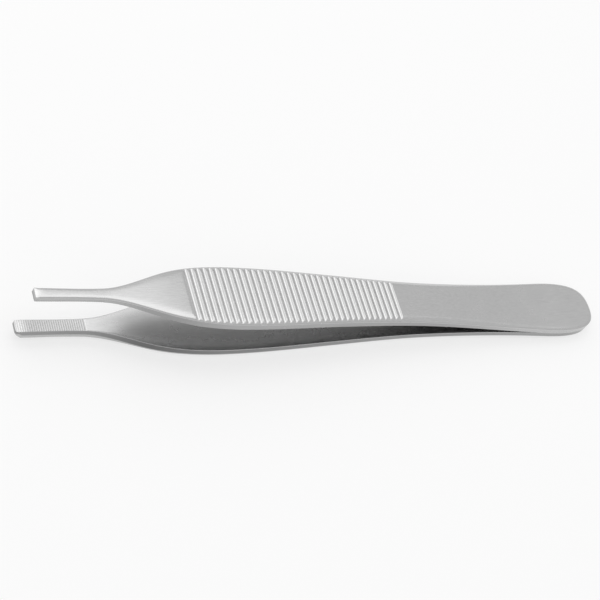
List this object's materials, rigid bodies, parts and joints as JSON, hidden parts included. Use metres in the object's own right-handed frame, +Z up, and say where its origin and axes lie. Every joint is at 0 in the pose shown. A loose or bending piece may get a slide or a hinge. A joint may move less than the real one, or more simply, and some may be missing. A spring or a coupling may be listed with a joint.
{
  "type": "thumb forceps",
  "caption": "Narrow-jawed thumb forceps: two sprung steel arms joined at a blunt heel, with fluted thumb grips and cross-serrated jaws.",
  "frame": {"origin": "centre of the outline's box, on the surface that the forceps lie on", "axes": "+X from the jaws to the heel, +Z up through the opening between the arms, as they lie on their lower arm"},
  "size_m": [0.1201, 0.0122, 0.0138],
  "materials": {
    "upper_arm": "satin",
    "lower_arm": "satin"
  },
  "bodies": {
    "root": {"upper_arm": "upper_arm", "lower_arm": "lower_arm"}
  },
  "joints": []
}
